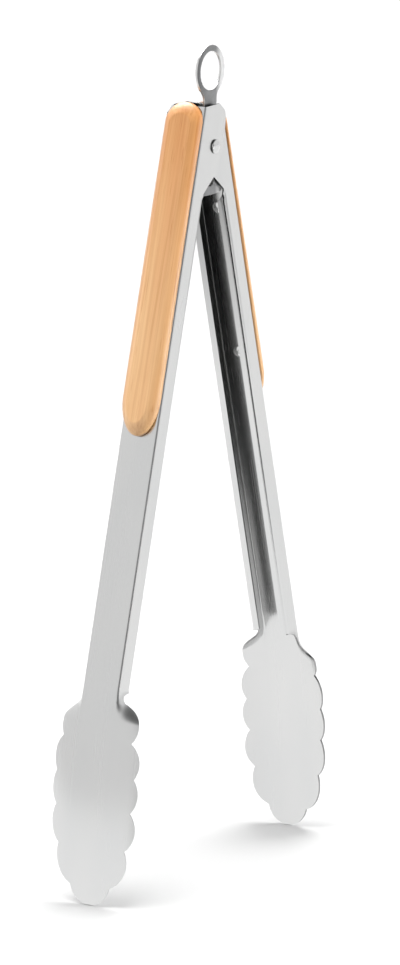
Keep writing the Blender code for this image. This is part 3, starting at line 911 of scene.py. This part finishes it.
def build_sleeve():
    half = SLEEVE_HALF
    edge = SLEEVE_EDGE
    profile = [(SLEEVE_BORE, -half + edge), (SLEEVE_BORE + edge, -half), (SLEEVE_R - edge, -half),
               (SLEEVE_R, -half + edge), (SLEEVE_R, half - edge), (SLEEVE_R - edge, half),
               (SLEEVE_BORE + edge, half), (SLEEVE_BORE, half - edge),
               (SLEEVE_BORE, -half + edge)]
    sleeve = turned("spacer_sleeve_tube", profile, SLEEVE_STEPS, RIVET_STEEL)
    settle(sleeve, Matrix.Translation(PIVOT) @ ACROSS)
    finished(sleeve, "pivot", "spacer_sleeve")


# ------------------------------------------------------------------ spring

def wire(name, points):
    curve = bpy.data.curves.new(name, "CURVE")
    curve.dimensions = "3D"
    curve.bevel_depth = WIRE_R
    curve.bevel_resolution = 4
    curve.use_fill_caps = True
    add_path(curve, points, False)
    mesh = curve_mesh(name + "_path", curve)
    obj = add_object(name, mesh, WIRE_STEEL)
    shade(mesh, angle=50)
    settle(obj, Matrix())
    return obj


def build_spring():
    """A coil round the sleeve, and a leg from each of its ends to the inside of an arm."""
    press_v = BACK - SHEET - GAP - WIRE_R
    lean_s, lean_c = math.sin(OPEN_HALF_ANGLE), math.cos(OPEN_HALF_ANGLE)
    x_end = LEG_U * lean_s + press_v * lean_c
    z_end = -LEG_U * lean_c + press_v * lean_s
    first = math.acos(COIL_R / math.hypot(x_end, z_end)) - math.atan2(-z_end, x_end)
    last = math.pi - first + 2.0 * math.pi * COIL_TURNS
    y_right, y_left = COIL_Y
    count = COIL_STEPS * COIL_TURNS
    coil = []
    for i in range(count + 1):
        t = i / count
        a = first + (last - first) * t
        coil.append(PIVOT + Vector((COIL_R * math.cos(a), y_right + (y_left - y_right) * t,
                                    COIL_R * math.sin(a))))
    finished(wire("torsion_spring_coil", coil), "pivot", "torsion_spring")
    legs = (("right", coil[0], x_end, y_right), ("left", coil[-1], -x_end, y_left))
    for side, start, x, y in legs:
        end = PIVOT + Vector((x, y, z_end))
        points = [start.lerp(end, i / LEG_STEPS) for i in range(LEG_STEPS + 1)]
        leg = wire(f"torsion_spring_{side}_leg", points)
        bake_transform(leg)


# ------------------------------------------------------------------ ring slider

def plate_half():
    """Half outline of the slider, from the ring's top down to the paddle's foot."""
    points = []
    join = math.asin(NECK_HALF / RING_OUTER_R)
    for i in range(61):
        a = 0.5 * math.pi - (math.pi - join - NECK_START) * i / 60
        points.append((RING_OUTER_R * math.cos(a), RING_Z + RING_OUTER_R * math.sin(a)))
    last_x, last_z = points[-1]
    neck_top = RING_Z - RING_OUTER_R * math.cos(join) - NECK_FILLET
    for i in range(1, 9):
        t = i / 8
        points.append((last_x + (NECK_HALF - last_x) * (1.0 - (1.0 - t) ** 2),
                       last_z + (neck_top - last_z) * t))
    for i in range(13):
        t = i / 12
        points.append((NECK_HALF + (PADDLE_HALF - NECK_HALF) * smoothstep(0.0, 1.0, t),
                       PADDLE_SHOULDER + PADDLE_RISE * (1.0 - t)))
    corner_x = PADDLE_HALF - PADDLE_CORNER
    corner_z = PADDLE_BOTTOM + 0.4 * MM + PADDLE_CORNER
    for d in range(0, 91, 9):
        a = math.radians(d)
        points.append((corner_x + PADDLE_CORNER * math.cos(a),
                       corner_z - PADDLE_CORNER * math.sin(a)))
    points.append((0.3 * PADDLE_HALF, PADDLE_BOTTOM + 0.1 * MM))
    return points


def plate_loops():
    """The slider's outline, the ring's hole and the slot, as closed loops of (x, z)."""
    half = plate_half()
    outer = half + [(0.0, PADDLE_BOTTOM)] + [(-x, z) for x, z in reversed(half) if x > TINY]
    ring = []
    for i in range(80):
        a = 2.0 * math.pi * i / 80
        ring.append((RING_HOLE_R * math.cos(a), RING_Z + RING_HOLE_R * math.sin(a)))
    slot = []
    for i in range(25):
        a = math.pi * i / 24
        slot.append((SLOT_HALF * math.cos(a), SLOT_HALF * math.sin(a)))
    slot += [(-x, -z - SLOT_LENGTH) for x, z in slot]
    return outer, ring, slot


def plate_mesh():
    curve = bpy.data.curves.new("ring_slider_outline", "CURVE")
    curve.dimensions = "2D"
    curve.fill_mode = "BOTH"
    curve.extrude = 0.5 * PLATE_T - PLATE_EDGE
    curve.bevel_depth = PLATE_EDGE
    curve.bevel_resolution = 2
    curve.offset = -PLATE_EDGE
    for loop in plate_loops():
        add_path(curve, [(x, z, 0.0) for x, z in loop], True)
    mesh = curve_mesh("outline", curve)
    bm = bmesh.new()
    bm.from_mesh(mesh)
    bmesh.ops.remove_doubles(bm, verts=bm.verts[:], dist=TINY)
    bmesh.ops.recalc_face_normals(bm, faces=bm.faces[:])
    bm.to_mesh(mesh)
    bm.free()
    return mesh


def build_slider():
    plate = add_object("ring_slider_plate", plate_mesh(), PLATE_STEEL)
    shade(plate.data, angle=50)
    middle = PIVOT + Vector((0.0, PLATE_FRONT + 0.5 * PLATE_T, 0.0))
    settle(plate, Matrix.Translation(middle) @ ACROSS)
    finished(plate, "slider", "ring_slider")


for side in ("left", "right"):
    build_arm(side)
    build_scale(side)
    for which in ("upper", "lower"):
        build_screw(side, which)
build_rivet()
build_sleeve()
build_spring()
build_slider()


# ------------------------------------------------------------------ camera, floor and light

CAMERA_AZIMUTH = math.radians(-58.47)
CAMERA_ELEVATION = math.radians(11.53)
CAMERA_ROLL = math.radians(0.411)
CAMERA_DISTANCE = 3.6344
CAMERA_LENS = 279.27
CAMERA_SENSOR = 36.0
AIM_SIDE = 0.003206
AIM_HEIGHT = 0.190874

FLOOR_RADIUS = 12.0
FLOOR_DROP = 0.0002
FLOOR_TONE = 0.36

# The room's light by the height of a direction, and by how far it points to the dark side
HEIGHT_LIGHT = [(0.0, 0.92), (0.1, 0.96), (0.3, 1.0), (0.5, 0.95), (0.75, 0.3), (1.0, 0.15)]
SECTOR_LIGHT = [(0.0, 1.0), (0.76, 1.0), (0.96, 0.26), (1.0, 0.2)]
SHADE_SIDE = (-0.42, -0.907, 0.0)
GLOSSY_SKY = 1.04
DIFFUSE_SKY = 0.55

# Glowing floor cards seen in reflections only, painted reflections: direction, (distance, half
# width) of both ends, glow, lift
DARK_SIDE = (-0.70, -0.714, 0.0)
BACK_SIDE = (-0.847, 0.532, 0.0)
NEAR_SIDE = (0.847, -0.532, 0.0)
CARDS = {
    "front_flag": (DARK_SIDE, [(0.17, 0.10), (3.0, 1.35)], 0.013, 0.0005),
    "back_card": (BACK_SIDE, [(0.45, 0.5), (6.0, 5.0)], 0.95, 0.0003),
    "near_card": (NEAR_SIDE, [(0.45, 0.6), (3.0, 2.5)], 1.19, 0.0003),
    "floor_card": (BACK_SIDE, [(-0.45, 0.45), (0.45, 0.45)], 1.27, 0.0002),
}

# Suns: direction, angle in degrees, strength
SUNS = {
    "left_sun": ((-0.35, -0.05, -1.0), 36.0, 4.4),
    "right_sun": ((0.26, -0.05, -1.0), 36.0, 4.3),
}

# Soft lights: place, size, power, and whether metal mirrors them (and they then light nothing else)
AREAS = {
    "left_fill": ((-0.75, 1.3, 0.45), 0.8, 14.0, False),
    "right_fill": ((0.35, -1.45, 0.4), 0.8, 30.0, False),
    "top_card": ((0.33, 0.66, 1.45), 1.0, 41.0, True),
}
LIGHT_AIM = Vector((0.0, 0.0, 0.25))

# Points of the tone curve that keep the blacks deep
TONE = [(0.02, 0.006), (0.06, 0.035), (0.2, 0.185)]


def aimed(direction):
    """Rotation that turns a light or a camera to look along direction."""
    return direction.to_track_quat("-Z", "Y").to_euler()


def add_camera():
    back = Vector((math.sin(CAMERA_AZIMUTH) * math.cos(CAMERA_ELEVATION),
                   -math.cos(CAMERA_AZIMUTH) * math.cos(CAMERA_ELEVATION),
                   math.sin(CAMERA_ELEVATION)))
    right = Vector((math.cos(CAMERA_AZIMUTH), math.sin(CAMERA_AZIMUTH), 0.0))
    up = back.cross(right)
    rolled_right = right * math.cos(CAMERA_ROLL) + up * math.sin(CAMERA_ROLL)
    rolled_up = up * math.cos(CAMERA_ROLL) - right * math.sin(CAMERA_ROLL)
    aim = right * AIM_SIDE + Vector((0.0, 0.0, AIM_HEIGHT))
    data = bpy.data.cameras.new("camera")
    data.sensor_width = CAMERA_SENSOR
    data.lens = CAMERA_LENS
    data.clip_start = 0.1
    data.clip_end = 50.0
    camera = add_object("camera", data)
    place = Matrix((rolled_right, rolled_up, back)).transposed().to_4x4()
    place.translation = aim + back * CAMERA_DISTANCE
    camera.matrix_world = place
    bpy.context.scene.camera = camera


def add_floor():
    bm = bmesh.new()
    bmesh.ops.create_circle(bm, cap_ends=True, radius=FLOOR_RADIUS, segments=96)
    tree = material_tree("pale_floor")
    tree.preset({"Base Color": rgba(FLOOR_TONE), "Roughness": 0.9,
                 "Specular IOR Level": 0.0})
    floor = add_object("floor", mesh_from(bm, "floor"), tree.owner)
    floor.location.z = -FLOOR_DROP


def add_area(name, place, size, power, mirrored):
    """Soft light: either seen in reflections only, or lighting all and mirrored by nothing."""
    data = bpy.data.lights.new(name, "AREA")
    data.size = size
    data.energy = power
    light = add_object(name, data)
    light.location = place
    light.rotation_euler = aimed(LIGHT_AIM - Vector(place))
    light.visible_glossy = mirrored
    light.visible_diffuse = not mirrored


def add_sun(name, direction, angle, strength):
    data = bpy.data.lights.new(name, "SUN")
    data.angle = math.radians(angle)
    data.energy = strength
    light = add_object(name, data)
    light.rotation_euler = aimed(Vector(direction))
    light.visible_glossy = False


def add_world():
    """Pale studio all round, with the dark side of the room beside the camera."""
    world = bpy.data.worlds.new("studio")
    bpy.context.scene.world = world
    tree = Tree(world)
    direction = tree.node("ShaderNodeTexCoord").outputs["Generated"]
    toward = tree.node("ShaderNodeVectorMath", operation="DOT_PRODUCT")
    toward.inputs[1].default_value = SHADE_SIDE
    tree.link(direction, toward.inputs[0])
    height = tree.ramp(tree.separate(direction)["Z"], HEIGHT_LIGHT)
    sector = tree.ramp(toward.outputs["Value"], SECTOR_LIGHT)
    path = tree.node("ShaderNodeLightPath")
    strength = tree.span(path.outputs["Is Glossy Ray"], (0.0, 1.0), DIFFUSE_SKY, GLOSSY_SKY)
    background = tree.nodes["Background"]
    tree.link(tree.mix(height, sector, 1.0, "MULTIPLY"), background.inputs["Color"])
    tree.link(strength, background.inputs["Strength"])


def add_card(name, side, ends, glow, lift):
    """Glowing card on the floor, running out to one side, seen in reflections only: a painted
    reflection, not lit by the lamps.
    """
    along = Vector(side)
    across = Vector((-along.y, along.x, 0.0))
    up = Vector((0.0, 0.0, lift))
    corners = []
    for far, wide in ends:
        corners += [along * far + across * wide + up, along * far - across * wide + up]
    mesh = bpy.data.meshes.new(name)
    mesh.from_pydata(corners, [], [(0, 1, 3, 2)])
    tree = material_tree(name + "_glow")
    tree.preset({"Base Color": rgba(0.0), "Emission Color": rgba(1.0), "Emission Strength": glow,
                 "Roughness": 1.0, "Specular IOR Level": 0.0})
    card = add_object(name, mesh, tree.owner)
    card.visible_camera = False
    card.visible_diffuse = False
    card.visible_shadow = False
    card.visible_transmission = False


def set_tone():
    view = bpy.context.scene.view_settings
    view.view_transform = "Standard"
    view.look = "None"
    view.use_curve_mapping = True
    for point in TONE:
        view.curve_mapping.curves[3].points.new(*point)
    view.curve_mapping.update()


add_camera()
add_floor()
add_world()
for name, values in CARDS.items():
    add_card(name, *values)
for name, values in SUNS.items():
    add_sun(name, *values)
for name, values in AREAS.items():
    add_area(name, *values)
set_tone()
